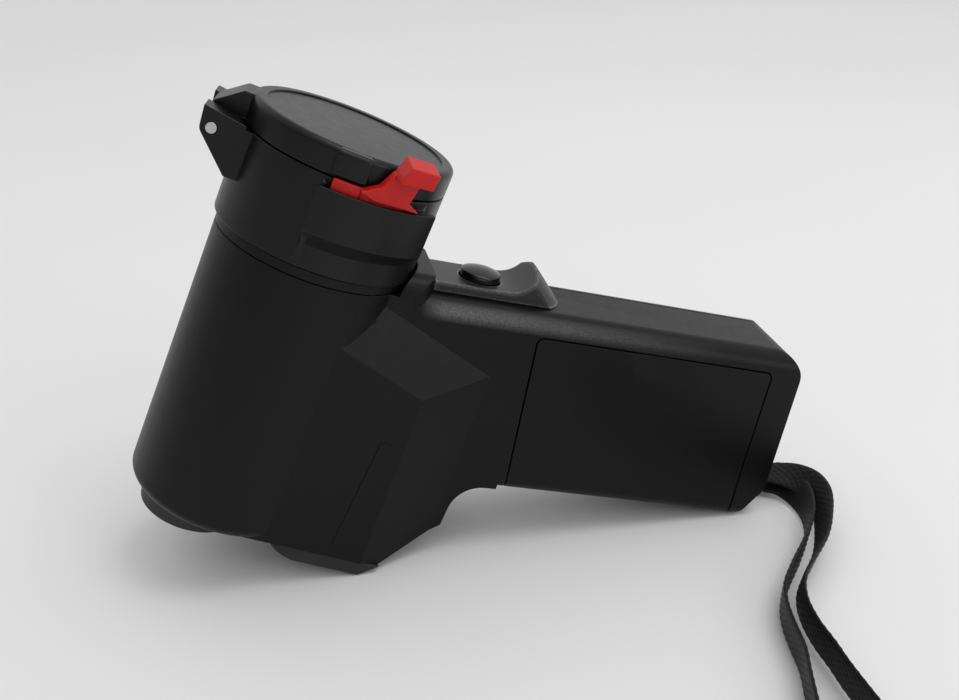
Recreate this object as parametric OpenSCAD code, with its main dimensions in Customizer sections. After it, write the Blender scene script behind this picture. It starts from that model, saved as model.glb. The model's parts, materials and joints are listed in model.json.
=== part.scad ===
// Pistol-grip spot meter with a flip-open lens cap, resting on its heel and on the end of its handle.
// Pieces are drawn about the optical axis: x runs to the handle, y to the display side, z to the lens.

/* [Barrel] */
// Outside diameter of the barrel
barrel_d = 44; // [42:0.5:46]
// Length of the barrel, from its rear face to the front seam
barrel_len = 65.2; // [63:0.2:66]
// Radius of the rounded rear edge
rear_round = 3; // [1:0.5:4]
// Wall of the moulded housing
wall = 2.2; // [1.8:0.1:2.6]

/* [Neck and cheeks] */
// Width of the neck and of the handle
grip_w = 26.6; // [26:0.2:28]
// Width over the two flat cheeks
cheek_w = 39; // [38:0.5:41]
// Reach of the flat cheek towards the lens, square to its front facet
cheek_front = 52.6; // [50:0.2:55]
// Direction of the front facet, turned from the handle towards the lens
cheek_front_turn = 73.4; // [70:0.2:76]
// Run of the front facet, from the cheek down to the neck
cheek_front_run = 12; // [9:0.5:14]
// Reach of the flat cheek towards the handle
cheek_low = 34.2; // [33:0.2:36]
// Direction of the lower facet
cheek_low_turn = 2.6; // [0:0.2:5]
// Run of the lower facet, from the cheek down to the neck
cheek_low_run = 15.4; // [13:0.2:16]
// Reach of the rear face, from the optical axis to the heel
heel_x = 39.5; // [38:0.5:41]
// Size of the slanted cut at the heel
heel_cut = 12; // [10:0.5:13]
// Radius in the throat between the heel and the handle
throat_r = 8; // [5:0.5:10]
// Radius of the fillet between the barrel and the neck
neck_fillet = 16; // [8:1:18]
// Distance of the parting plane from the middle, on the display side
parting_y = 8; // [7.4:0.2:8.6]

/* [Handle] */
// Root of the handle's front face, away from the optical axis
root_x = 27; // [26:0.5:29]
// Root of the handle's front face, ahead of the barrel's seam
root_ahead = 1.8; // [1:0.2:2.6]
// Slant of the handle away from square to the barrel
handle_slant = 9; // [7:0.5:11]
// Depth of the handle, from front to rear
handle_depth = 46.4; // [45:0.2:48]
// Length of the solid end of the handle, past the battery door
end_block = 8; // [7:0.5:12]
// Slant of the handle's end and of the door's ends
end_slant = 3.7; // [2:0.1:5]
// Radius of the front corner at the handle's end
end_round = 7; // [4:0.5:9]
// Radius along the front edges of the handle
front_round = 5; // [3:0.5:6]
// Radius along the rear edges of the handle
rear_edge = 3; // [1.5:0.5:4]
// Length of the slanted rear corner, along the handle
corner_x = 5.6; // [5:0.2:6.4]
// Height of the slanted rear corner
corner_z = 8.7; // [8:0.1:9.5]
// Wall behind the front face of the neck
front_wall = 3; // [2.5:0.1:3.5]
// Height of the collar between the trigger plate and the cap, over the front face
collar_h = 4.2; // [3.4:0.1:4.8]

/* [Heel pad] */
// Height of the pad that the meter stands on
pad_h = 3.8; // [3:0.2:4.6]
// Slant of the pad's edge at the heel
pad_bevel = 4.4; // [3:0.2:5]
// Nearest edge of the pad, from the optical axis
pad_x0 = 13; // [11:0.5:15]
// Width of the pad
pad_w = 37.6; // [34:0.4:38]
// Radius of the pad's upper corners
pad_round = 7; // [4:0.5:9]

/* [Trigger] */
// End of the trigger plate, from the handle's root
plate_len = 33.3; // [32.6:0.1:34]
// Width of the trigger plate
plate_w = 15; // [14:0.2:15.6]
// Height of the trigger plate
plate_h = 2.4; // [2:0.1:3]
// Height of the finger-rest fin
fin_h = 7.5; // [7:0.1:8]
// Place of the fin's tip along the plate
fin_x = 25.8; // [25.4:0.1:26.4]
// Place where the plate starts to curve up to the fin
scoop_x = 18.5; // [18:0.1:19]
// Diameter of the measuring button
button_d = 9.5; // [8.5:0.1:10]
// Place of the button along the plate
button_x = 13; // [12.5:0.1:13.5]
// Height of the button over the plate
button_h = 2.6; // [1.8:0.1:3]
// Travel of the button
button_travel = 1.5; // [1:0.1:1.6]

/* [Battery] */
// Distance of the door's first end from the handle's root
door_x = 26; // [25.5:0.1:26.5]
// Distance of the door's upper edge from the front face
door_top = 5; // [5:0.1:6]
// Thickness of the door
door_t = 2; // [1.6:0.1:2.2]
// Radius of the door's upper corners
door_round = 1.8; // [1:0.2:2.6]
// Gap round the door
door_gap = 0.3; // [0.2:0.05:0.4]
// Diameter of the cell
cell_d = 14.5; // [13.5:0.1:14.6]
// Length of the cell with its button
cell_len = 50.5; // [44:0.5:58]
// Place of the cell, across the handle
cell_y = -3.4; // [-3.5:0.05:-3.2]
// Place of the cell, behind the front face
cell_z = 25; // [23:0.5:27]

/* [Eyepiece] */
// Offset of the eyepiece from the optical axis
eye_x = -5.5; // [-6:0.1:-5]
// Diameter of the eyecup ring at its base
eyecup_d = 26; // [25:0.2:27]
// Diameter of the eyecup ring at its rear
eyecup_tip_d = 24; // [22.5:0.2:24.6]
// Depth of the eyecup ring
eyecup_h = 6.4; // [6:0.1:7]
// Outside diameter of the eyepiece tube
eye_tube_d = 20; // [19:0.2:20.6]
// Diameter of the eyepiece lens
eye_lens_d = 16.6; // [15:0.2:16.8]

/* [Lens] */
// Outside diameter of the hood tube that carries the cap
hood_d = 41.2; // [40.6:0.1:41.4]
// Inside diameter of the bezel
bezel_bore = 35.6; // [35:0.1:36]
// Length of the bezel, from the barrel's seam to the cap
bezel_len = 2.7; // [2.2:0.1:3]
// Gap between the bezel and the cap's sleeve
bezel_gap = 0.35; // [0.2:0.05:0.5]
// Length of the hood tube, ahead of the bezel
hood_len = 18.1; // [16:0.1:19]
// Diameter of the objective lens
objective_d = 31.6; // [30:0.2:32]
// Seat of the objective lens, ahead of the barrel's seam
objective_ahead = 4.8; // [4:0.1:6]
// Diameter of the field lens
field_d = 29.6; // [28:0.2:29.8]

/* [Flip cap] */
// Outside diameter of the cap's sleeve
sleeve_d = 46; // [45:0.2:47]
// Length of the sleeve
sleeve_len = 20.1; // [19.5:0.1:21]
// Diameter of the lid
lid_d = 46; // [45:0.2:46.4]
// Height of the lid
lid_h = 6.2; // [5.6:0.1:6.8]
// Turn of the hinge about the optical axis, towards the display side
hinge_turn = 7; // [0:0.5:12]
// Distance of the hinge pin from the optical axis
hinge_x = 28; // [27.8:0.1:28.4]
// Place of the hinge pin below the sleeve's front rim
hinge_drop = 2.2; // [2:0.1:2.6]
// Diameter of the hinge pin
hinge_pin_d = 2.4; // [2:0.1:2.6]
// Radius of the hinge ears about the pin
ear_r = 2.4; // [2.2:0.1:2.5]
// Height of the ears' rear corners over the sleeve's front rim
ear_rise = 1.9; // [1.5:0.1:2.1]
// Distance between the insides of the ears
ear_gap = 10.4; // [10:0.2:11]
// Thickness of each ear
ear_t = 6.2; // [5.6:0.2:6.4]
// Direction of the latch's middle, turned from the handle towards the cheek
latch_turn = 77; // [74:0.5:80]
// Direction of the latch's pocket, turned the same way
pocket_turn = 76; // [75:0.5:77]
// Outside radius of the latch's pocket
pocket_r = 26.6; // [26.4:0.1:27.4]
// Half span of the pocket, in degrees
pocket_span = 31; // [30:0.5:33]
// Width of the latch's thumb pad
thumb_w = 8.1; // [7.4:0.1:9]
// Reach of the thumb pad from the optical axis
thumb_r = 28.8; // [28:0.1:29.6]
// Direction of the lid's tab
tab_turn = 95.5; // [94:0.5:97]
// Width of the lid's tab
tab_w = 7.2; // [6:0.2:8]

/* [Display and keys] */
// Width of the display window
window_w = 17.2; // [16:0.2:17.4]
// Height of the display window
window_h = 15; // [13:0.2:16]
// Place of the window's middle, from the optical axis
window_x = 22.3; // [22.2:0.1:22.8]
// Place of the window's middle, along the optical axis
window_z = 33; // [32.4:0.1:34]
// Distance between keys
key_pitch = 6; // [5.8:0.1:6.4]
// Length of a key
key_len = 4.6; // [4:0.1:4.8]
// Width of a key
key_w = 3.4; // [3:0.1:3.6]
// Height of the keys over the cheek
key_h = 1; // [0.9:0.1:1.4]
// Travel of a key
key_travel = 0.8; // [0.5:0.1:0.8]

/* [Handle end] */
// Outside diameter of the tripod bush
bush_d = 10; // [9:0.2:11]
// Diameter of the bush's threaded hole
bush_bore = 5.2; // [5:0.1:5.4]
// Length of the bush
bush_len = 6; // [5:0.1:6.4]
// Place of the bush behind the front face
bush_z = 25; // [23:0.5:27]
// Diameter of the flash lead socket
sync_d = 6.4; // [6:0.1:7]
// Place of the flash lead socket behind the front face
sync_z = 12.5; // [12:0.5:14]
// Diameter of the strap's pin
strap_pin_d = 2; // [1.6:0.1:2.4]
// Radius of the hollow round the strap's pin
lug_r = 3.4; // [3.2:0.1:3.6]
// Width of the hollow round the strap's pin
lug_w = 10; // [9:0.2:11]

/* [Strap] */
// Width of the strap's webbing
strap_w = 8; // [7:0.2:9]
// Thickness of the strap's webbing
strap_t = 1.2; // [0.9:0.1:1.3]

/* [Hidden] */
$fn = 64;

// Finishes
charcoal = "#1c1c1e";
rubber_black = "#121213";
latch_red = "#c8141a";
steel = "#b9bcc0";
brass = "#b08d4a";
glass_tint = "#9fb4c4";
board_green = "#1f5a3a";

// Clearances, and the reach of cutting bodies past what they cut
slide_gap = 0.3;
seat_gap = 0.1;
running_gap = 0.06;
cut = 1;
far = 200;

// Places along the optical axis
root_z = barrel_len + root_ahead;
sleeve_z0 = barrel_len + bezel_len;
sleeve_z1 = sleeve_z0 + sleeve_len;
hood_z = sleeve_z0 + hood_len;
objective_z = barrel_len + objective_ahead;

// Battery: the door, and so the handle, is as long as the tray needs
tray_wall = 1.5;
spring_room = 5;
contact_t = 0.5;
contact_w = 9;
tray_in = contact_t + cell_len + spring_room + 2 * seat_gap;
tray_len = tray_in + 2 * tray_wall;
tray_margin = 2.8;
door_len = tray_len + tray_margin;
handle_len = door_x + door_len + end_block;
tray_x = door_x + tray_margin;
tray_half = cell_d / 2 + 1.6;
cell_x = tray_x + tray_wall + contact_t + seat_gap;
cell_nub = [5.5, 1];
recess_x = 31.5;
recess_depth = 0.4;
recess_ball = 75;

// Outline of the housing
barrel_r = barrel_d / 2;
bore_r = barrel_r - wall;
grip_half = grip_w / 2;
cheek_half = cheek_w / 2;
throat_x = heel_x + heel_cut;
bevel = tan(22.5);
fillet_sink = 0.1;
fillet_y = grip_half + neck_fillet - fillet_sink;
fillet_reach = barrel_r + neck_fillet - fillet_sink;
fillet_x = sqrt(pow(fillet_reach, 2) - pow(fillet_y, 2));
fillet_share = barrel_r / fillet_reach;
fillet_end = 6.1;
fillet_len = barrel_len - fillet_end;
root_in = root_x - barrel_r / 2;
collar_x = 0.7;
collar_round = 6;
function rear_line(x) = root_z + (x - root_x) * tan(handle_slant) - handle_depth / cos(handle_slant);
throat_cx = throat_x + throat_r;
throat_cz = rear_line(throat_cx) - throat_r / cos(handle_slant);
function end_x(z) = handle_len - z * tan(end_slant);
end_cx = handle_len - end_round * (1 - sin(end_slant)) / cos(end_slant);
foot_x = end_x(-handle_depth) - corner_x;

// Resting place: the heel pad's edge and the handle's rear corner both stand on the floor
heel_foot = [heel_x - pad_bevel, -pad_h];
end_foot = [
    root_x + foot_x * cos(handle_slant) + handle_depth * sin(handle_slant),
    root_z + foot_x * sin(handle_slant) - handle_depth * cos(handle_slant)
];
lean = atan2(end_foot.y - heel_foot.y, end_foot.x - heel_foot.x);
function lean_x(x, z) = x * cos(lean) + z * sin(lean);
function lean_z(x, z) = z * cos(lean) - x * sin(lean);
floor_z = lean_z(heel_foot.x, heel_foot.y);
rear_most = lean_x(rear_round - barrel_r, rear_round) - rear_round;
end_centre = [
    root_x + end_cx * cos(handle_slant) + end_round * sin(handle_slant),
    root_z + end_cx * sin(handle_slant) - end_round * cos(handle_slant)
];
front_most = lean_x(end_centre.x, end_centre.y) + end_round;
thumb_y0 = 0.3;
thumb_side = -thumb_r * sin(latch_turn) + thumb_y0 * cos(latch_turn);
rest_shift = [-(rear_most + front_most) / 2, -(thumb_side + sleeve_d / 2) / 2, -floor_z];

// Trigger
plate_start = collar_x + 0.2;
flank_slant = atan2(plate_len - fin_x, fin_h);
flank_r = 12.3;
scoop_rise = fin_h - plate_h;
fin_t = 0.5;
scoop_run = fin_x - fin_t - scoop_x;
scoop_r = (scoop_run * scoop_run + scoop_rise * scoop_rise) / (2 * scoop_rise);
button_r = button_d / 2;
button_hole_r = button_r + 0.25;
button_flange = 1.4;
button_flange_t = 1.2;
button_top = plate_h + button_h;
button_base = -front_wall - slide_gap - button_flange_t;
switch_top = button_base - button_travel - seat_gap;
switch_stem = 1;
switch_size = [7, 4];

// Eyepiece
eye_wall = 1.6;
eye_tube_rear = -eyecup_h + 1.9;
eye_tube_front = 5.8;
eye_collar = 2;
eyecup_gap = 0.4;
grip_notches = 30;

// Lens
spigot_len = 6;
seam = 0.2;
seam_depth = 0.4;
lens_edge = 3;
lens_sides = 360;
lens_seat = 0.15;
baffle_z = 46;
baffle_t = 1.5;
baffle_hole = 10;
carrier_z = [6, 34];
sight_r = 6;
photocell_can = [4.5, 4.5];
photocell_neck = [3.6, 1.5];

// Flip cap
sleeve_r = sleeve_d / 2;
sleeve_bore = hood_d / 2 + seat_gap / 2;
lid_r = lid_d / 2;
lid_z = sleeve_z1 + slide_gap;
lid_top = lid_z + lid_h;
hinge_z = sleeve_z1 - hinge_drop;
lid_skin = 2;
ear_len = 11;
ear_back = 2.7;
ear_fall = 7.7;
ear_clear = 1.2;
pocket_in = sleeve_r + 0.45;
pocket_out = pocket_r - 1.2;
pocket_rim = sleeve_z1 - 1.5;
pocket_floor = pocket_rim - 5.6;
pocket_low = pocket_rim - 9.8;
pocket_mouth = 40;
latch_pin_z = pocket_rim - 1.4;
latch_pin_d = 2;
latch_span = [12, 25];
latch_room = 2.6;
latch_in = pocket_in + slide_gap;
latch_out = pocket_out - slide_gap;
thumb_z = [lid_top - 1.8, lid_top + 2.9];

// Display and keys
keys_x = window_x + 1.2;
key_rows = [17.5, 9];
key_places = [
    for (step = [-1:1]) [keys_x + step * key_pitch, key_rows[0]],
    for (step = [-1, 1]) [keys_x + step * key_pitch / 2, key_rows[1]]
];
key_gap = 0.25;
key_flange = 0.7;
key_flange_t = 1.4;
window_t = 1.2;
window_ledge = 1;
display_t = 2.1;
board_y = 9;
board_t = 1.6;
board_w = 22.5;
board_inset = 3;
board_x = [throat_x - board_inset - board_w, throat_x - board_inset];
board_z = [heel_cut + 2, root_z - 5];
board_posts = [[36.5, 20], [29, 50], [44, 50]];
board_chips = [[30, 24, 10, 10], [32, 40, 7, 5], [42, 30, 4, 8]];
chip_t = 1.5;
post_r = 2;
mat_room = key_travel + slide_gap;
mat_place = [17, 5];
mat_size = [16, 16];
key_base = cheek_half - wall - slide_gap - key_flange_t;

// Handle end
lug_x = foot_x + 1.8;
lug_z = -handle_depth + 5.5;
neck_screw = [6, 8.4];
end_screw = [3.6, 18];
screw_places = [
    [door_x - neck_screw.x, neck_screw.y - handle_depth], [handle_len - end_screw.x, -end_screw.y]
];
screw_head = [4.4, 1.4];
screw_shank = [2, 14];

// Strap: points in the resting frame, each with the angle at which the webbing stands on its edge
strap_route = [
    [71.7, 2.5, 6.9, 0], [73.4, 2.5, 6.2, 0], [75.4, 2.5, 5.1, 0], [77.8, 2, 4.8, 4], [80.8, 0, 5.3, 10],
    [84, -2.6, 6.1, 20], [86.9, -5.8, 6.6, 33], [88.7, -10.5, 6.7, 46], [88.3, -17, 6.4, 56],
    [85.2, -24.6, 6, 64], [80, -33.4, 5.5, 70], [73.4, -40.8, 5, 76], [68.4, -47, 4.7, 82],
    [65.6, -54, 4.5, 88], [64.6, -61.6, 4.4, 90], [64.7, -69, 4.4, 90], [64.6, -77, 4.4, 90],
    [65.4, -93, 4.4, 90], [67, -109, 4.4, 90], [65, -122, 4.4, 90], [58, -128, 4.4, 90],
    [50.5, -123, 4.4, 90], [48.6, -108, 4.4, 90], [51, -92, 4.4, 90], [55, -78, 4.4, 90],
    [57.8, -69.4, 4.4, 90], [59.1, -62, 4.4, 90], [60.6, -55, 4.4, 90], [63.3, -48.4, 4.4, 91],
    [68.1, -41.8, 4.4, 92], [75.2, -33.3, 4.4, 94], [81.6, -24.4, 4.4, 98], [84.8, -17, 4.4, 106],
    [86, -9.6, 4.1, 124], [84.8, -4, 3.5, 148], [81.2, -0.8, 2.6, 168],
    [77.4, 1.6, 1.8, 178], [74, 2.5, 1.8, 180], [70.9, 2.5, 2.9, 180]
];
strap_steps = 2;

// Placement

module rest() {
    translate(rest_shift) rotate([0, lean, 0]) children();
}

module handle_frame() {
    translate([root_x, 0, root_z]) rotate([0, -handle_slant, 0]) children();
}

module end_frame(z) {
    handle_frame() translate([end_x(z), 0, z]) rotate([0, -end_slant, 0]) children();
}

module along_y(width) {
    rotate([90, 0, 0]) linear_extrude(width, center = true) children();
}

module along_x(from, to) {
    translate([from, 0, 0]) rotate([90, 0, 90]) linear_extrude(to - from) children();
}

module cylinder_x(r, from, to) {
    translate([from, 0, 0]) rotate([0, 90, 0]) cylinder(r = r, h = to - from);
}

module cylinder_y(r, from, to) {
    translate([0, from, 0]) rotate([-90, 0, 0]) cylinder(r = r, h = to - from);
}

module tube(r_out, r_in, from, to) {
    translate([0, 0, from]) difference() {
        cylinder(r = r_out, h = to - from);
        translate([0, 0, -cut]) cylinder(r = r_in, h = to - from + 2 * cut);
    }
}

module stadium(size) {
    offset_x = (size.x - size.y) / 2;
    square([2 * offset_x, size.y], center = true);
    for (side = [-1, 1]) translate([side * offset_x, 0]) circle(d = size.y);
}

// A tube with a closed outline swept along points, one frame of two side vectors at each point
function unit(v) = v / norm(v);
function tangent(p, i) = unit(p[min(i + 1, len(p) - 1)] - p[max(i - 1, 0)]);

module sweep(rings) {
    sides = len(rings[0]);
    points = [for (ring = rings) each ring];
    skin = [
        for (i = [0:len(rings) - 2], j = [0:sides - 1]) let (k = (j + 1) % sides) each [
            [i * sides + j, (i + 1) * sides + k, i * sides + k],
            [i * sides + j, (i + 1) * sides + j, (i + 1) * sides + k]
        ]
    ];
    last = (len(rings) - 1) * sides;
    caps = [for (j = [1:sides - 2]) each [[0, j, j + 1], [last, last + j + 1, last + j]]];
    polyhedron(points, concat(skin, caps));
}

// Round wire wound about the z axis, from radius r0 to radius r1
curl_rings = 8;
wire_sides = 6;

function coil_line(r0, r1, wire, turns, height) = [
    for (i = [0:turns * curl_rings]) let (
        share = i / (turns * curl_rings),
        a = 360 * turns * share,
        r = r0 + (r1 - r0) * share
    ) [r * cos(a), r * sin(a), wire / 2 + (height - wire) * share]
];

// Least gap between one turn of a wound wire and the next
function coil_gap(line, wire) =
    min([for (i = [0:len(line) - 1 - curl_rings]) norm(line[i + curl_rings] - line[i])]) - wire;

module coil(line, wire) {
    sweep([
        for (i = [0:len(line) - 1]) let (
            t = tangent(line, i),
            out = unit([line[i].x, line[i].y, 0]),
            side = unit(cross(t, out)),
            up = cross(side, t)
        ) [
            for (j = [0:wire_sides - 1]) let (a = 360 * j / wire_sides)
                line[i] + wire / 2 * (up * cos(a) + side * sin(a))
        ]
    ]);
}

// Housing, as one outer body that the shells are cut from

module neck_profile(inset, top) {
    polygon([
        [0, inset], [heel_x - inset * bevel, inset], [throat_x - inset, heel_cut + inset * bevel],
        [throat_x - inset, top], [0, top]
    ]);
}

module throat_profile() {
    seat_x = throat_cx - throat_r * sin(handle_slant);
    difference() {
        polygon([
            [throat_x - cut, throat_cz], [throat_x - cut, rear_line(throat_x) + cut],
            [seat_x, rear_line(seat_x) + cut], [seat_x, throat_cz]
        ]);
        translate([throat_cx, throat_cz]) circle(throat_r);
    }
}

module handle_profile() {
    corner = [
        for (i = [0:12]) let (a = 90 + (end_slant - 90) * i / 12)
            [end_cx + end_round * cos(a), -end_round + end_round * sin(a)]
    ];
    polygon(concat(
        [[-root_in, 0]], corner,
        [[end_x(corner_z - handle_depth), corner_z - handle_depth], [foot_x, -handle_depth],
         [-root_in, -handle_depth]]
    ));
}

module side_profile() {
    neck_profile(0, barrel_len);
    throat_profile();
    translate([root_x, root_z]) rotate(handle_slant) handle_profile();
}

module front_section() {
    difference() {
        translate([-grip_half, -far]) square([grip_w, far + cut]);
        for (side = [0, 1]) mirror([side, 0]) translate([grip_half - front_round, -front_round])
            difference() {
                square(front_round + 2 * cut);
                circle(front_round);
            }
    }
}

module grip_solid() {
    difference() {
        intersection() {
            along_y(grip_w + 2 * cut) side_profile();
            handle_frame() along_x(-far, far) front_section();
        }
        handle_frame() for (side = [0, 1]) mirror([0, side, 0]) along_x(door_x + cut, far)
            translate([grip_half - rear_edge, rear_edge - handle_depth]) difference() {
                translate([0, -rear_edge - cut]) square(rear_edge + cut);
                circle(rear_edge);
            }
    }
}

module barrel_solid() {
    rotate_extrude() {
        translate([0, rear_round]) square([barrel_r, barrel_len - rear_round]);
        square([barrel_r - rear_round, rear_round + cut]);
        translate([barrel_r - rear_round, rear_round]) circle(rear_round);
    }
}

module barrel_fillets() {
    linear_extrude(fillet_len) for (side = [0, 1]) mirror([0, side]) difference() {
        polygon([
            [0, 0], [fillet_x, 0], [fillet_x, grip_half], [fillet_x * fillet_share, fillet_y * fillet_share]
        ]);
        translate([fillet_x, fillet_y]) circle(neck_fillet);
    }
}

// Raised collar at the root of the handle, in front of the cap's sleeve
module collar() {
    flat = grip_half - collar_round;
    handle_frame() intersection() {
        translate([0, 0, -front_round]) linear_extrude(front_round + collar_h) {
            translate([-root_in, -grip_half]) square([root_in + collar_x - collar_round, grip_w]);
            translate([-root_in, -flat]) square([root_in + collar_x, 2 * flat]);
            for (side = [-1, 1]) translate([collar_x - collar_round, side * flat]) circle(collar_round);
        }
        along_x(-far, far) translate([0, collar_h]) front_section();
    }
}

module facet(reach, turn, run, inset) {
    half = cheek_half - inset;
    drop = cheek_half - grip_half;
    edge = reach - inset * (sqrt(run * run + drop * drop) - run) / drop;
    tip = edge + run * half / drop;
    rotate([0, -turn, 0]) linear_extrude(far, center = true)
        polygon([[-far, -half], [edge, -half], [tip, 0], [edge, half], [-far, half]]);
}

module cheeks(inset) {
    intersection() {
        facet(cheek_front, cheek_front_turn, cheek_front_run, inset);
        facet(cheek_low, cheek_low_turn, cheek_low_run, inset);
        along_y(cheek_w) neck_profile(inset, barrel_len);
    }
}

module housing() {
    difference() {
        union() {
            barrel_solid();
            barrel_fillets();
            cheeks(0);
            grip_solid();
            collar();
        }
        translate([0, 0, barrel_len]) cylinder(r = sleeve_r + 2 * slide_gap, h = barrel_len);
    }
}

module housing_hollow() {
    translate([0, 0, wall]) cylinder(r = bore_r, h = barrel_len);
    intersection() {
        union() {
            cheeks(wall);
            along_y(grip_w - 2 * wall) neck_profile(wall, far);
        }
        handle_frame() translate([-far / 2, -far / 2, -far - front_wall]) cube(far);
    }
    translate([eye_x, 0, -cut]) cylinder(r = eye_tube_d / 2 + seat_gap, h = wall + 2 * cut);
}

module battery_bay() {
    handle_frame() along_y(2 * (grip_half - wall)) door_outline(0, handle_depth - door_t);
}

module door_opening() {
    handle_frame() translate([0, parting_y + cut - far / 2, 0]) along_y(far)
        door_outline(0, handle_depth + cut);
}

// Points of a rounded corner
function arc(centre, r, from, to, steps = 8) =
    let (turns = [for (i = [0:steps]) from + (to - from) * i / steps])
    [for (turn = turns) centre + r * [cos(turn), sin(turn)]];

module door_outline(gap, depth) {
    top = door_top + gap;
    r = door_round - gap;
    ends = [for (x = [door_x + gap, door_x + door_len - gap]) x + top * tan(end_slant)];
    drop = (depth - top) * tan(end_slant);
    left = [ends[0] + r * (1 + sin(end_slant)) / cos(end_slant), -top - r];
    right = [ends[1] - r * (1 - sin(end_slant)) / cos(end_slant), -top - r];
    polygon([
        [ends[0] + drop, -depth], each arc(left, r, 180 + end_slant, 90), each arc(right, r, 90, end_slant),
        [ends[1] + drop, -depth]
    ]);
}

module half_space(side) {
    translate([-far, side > 0 ? parting_y : parting_y - far, -far]) cube([2 * far, far, 2 * far]);
}

module handle_end_holes() {
    end_frame(-bush_z) cylinder_x(bush_d / 2, -bush_len, cut);
    end_frame(-sync_z) cylinder_x(sync_d / 2, -bush_len, cut);
    handle_frame() translate([lug_x, 0, lug_z]) {
        cylinder_y(lug_r, -lug_w / 2, lug_w / 2);
        cylinder_y(strap_pin_d / 2, -lug_w, lug_w / 2 + cut);
    }
}

module screw_holes() {
    for (place = screw_places) handle_frame() translate([place.x, 0, place.y]) {
        cylinder_y(screw_shank.x / 2 + seat_gap / 2, grip_half - screw_head.y - screw_shank.y - cut, far);
        cylinder_y(screw_head.x / 2 + seat_gap, grip_half - screw_head.y, far);
    }
}

module right_shell() {
    color(charcoal) rest() difference() {
        intersection() {
            housing();
            half_space(-1);
        }
        housing_hollow();
        door_opening();
        handle_frame() translate([button_x, 0, -front_wall - cut]) cylinder(r = button_hole_r, h = far);
        handle_end_holes();
        screw_holes();
    }
}

module left_shell() {
    color(charcoal) rest() {
        difference() {
            intersection() {
                housing();
                half_space(1);
            }
            housing_hollow();
            battery_bay();
            translate([window_x, cheek_half, window_z]) {
                cube(
                    [window_w - 2 * window_ledge, 2 * wall + cut, window_h - 2 * window_ledge], center = true
                );
                cube([window_w + 2 * seat_gap, 2 * window_t, window_h + 2 * seat_gap], center = true);
            }
            for (place = key_places) translate([place.x, cheek_half, place.y])
                along_y(2 * wall + cut) stadium([key_len + 2 * key_gap, key_w + 2 * key_gap]);
            screw_holes();
        }
        for (place = board_posts) translate([place.x, 0, place.y]) intersection() {
            cylinder_y(post_r, board_y + board_t, far);
            translate([-place.x, 0, -place.y]) cheeks(wall / 2);
        }
    }
}

module front_bezel() {
    color(charcoal) rest() {
        tube(bore_r - seat_gap / 2, bezel_bore / 2, barrel_len - spigot_len, barrel_len);
        tube(barrel_r - seam_depth, bezel_bore / 2, barrel_len, barrel_len + seam);
        tube(barrel_r, bezel_bore / 2, barrel_len + seam, sleeve_z0 - bezel_gap);
        tube(hood_d / 2, bezel_bore / 2, sleeve_z0 - bezel_gap, hood_z);
    }
}

module heel_pad() {
    color(rubber_black) rest() intersection() {
        along_y(pad_w + 2 * cut) polygon([[pad_x0, 0], [heel_x, 0], heel_foot, [pad_x0, heel_foot.y]]);
        translate([0, 0, -pad_h - cut]) linear_extrude(pad_h + 2 * cut) {
            translate([pad_x0 + pad_round, -pad_w / 2]) square([heel_x, pad_w]);
            translate([pad_x0, pad_round - pad_w / 2]) square([heel_x, pad_w - 2 * pad_round]);
            for (side = [-1, 1]) translate([pad_x0 + pad_round, side * (pad_w / 2 - pad_round)])
                circle(pad_round);
        }
    }
}

// Trigger

module trigger_plate() {
    color(charcoal) rest() handle_frame() difference() {
        along_y(plate_w) difference() {
            polygon([
                [plate_start, 0], [plate_len + cut, 0], [plate_len + cut, fin_h], [scoop_x, fin_h],
                [scoop_x, plate_h], [plate_start, plate_h]
            ]);
            translate([scoop_x, plate_h + scoop_r]) circle(scoop_r);
        }
        difference() {
            translate([scoop_x, -plate_w, -cut]) cube([plate_len, 2 * plate_w, fin_h + 2 * cut]);
            translate([plate_len, 0, 0]) rotate([0, -flank_slant, 0]) translate([-flank_r, 0, -far / 2])
                cylinder(r = flank_r, h = far);
        }
        translate([button_x, 0, -cut]) cylinder(r = button_hole_r, h = fin_h + 2 * cut);
    }
}

module measuring_button() {
    crown = 1;
    crown_r = (button_r * button_r + crown * crown) / (2 * crown);
    color(rubber_black) rest() handle_frame() translate([button_x, 0, 0]) {
        intersection() {
            translate([0, 0, button_base]) cylinder(r = button_r, h = button_top - button_base);
            translate([0, 0, button_top - crown_r]) sphere(crown_r, $fn = 128);
        }
        translate([0, 0, button_base]) cylinder(r = button_r + button_flange, h = button_flange_t);
    }
}

module measuring_switch() {
    reach = board_y + switch_size.x / 2;
    color(rubber_black) rest() handle_frame() translate([button_x, 0, switch_top]) {
        translate([-switch_size.x / 2, -switch_size.x / 2, -switch_stem - switch_size.y])
            cube([switch_size.x, reach, switch_size.y]);
        translate([0, 0, -switch_stem]) cylinder(r = 1.5, h = switch_stem);
    }
}

// Battery

module battery_door() {
    color(charcoal) rest() difference() {
        intersection() {
            grip_solid();
            handle_frame() translate([0, parting_y - far / 2 - door_gap, 0])
                along_y(far) door_outline(door_gap, handle_depth + cut);
        }
        handle_frame() translate([0, door_t - grip_half, door_t - handle_depth]) cube([far, far, far]);
        handle_frame() translate([door_x + recess_x, recess_depth - grip_half - recess_ball, -door_top])
            sphere(recess_ball, $fn = 256);
    }
}

module battery_tray() {
    color(rubber_black) rest() handle_frame() translate([tray_x, 0, -cell_z]) difference() {
        union() {
            translate([0, cell_y, -tray_half]) cube([tray_len, grip_half - wall - cell_y, 2 * tray_half]);
            for (x = [0, tray_len - tray_wall]) translate([x, cell_y - tray_half + 2, -tray_half])
                cube([tray_wall, tray_half, 2 * tray_half]);
        }
        translate([0, cell_y, 0]) cylinder_x(cell_d / 2 + seat_gap, tray_wall, tray_len - tray_wall);
    }
}

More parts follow.
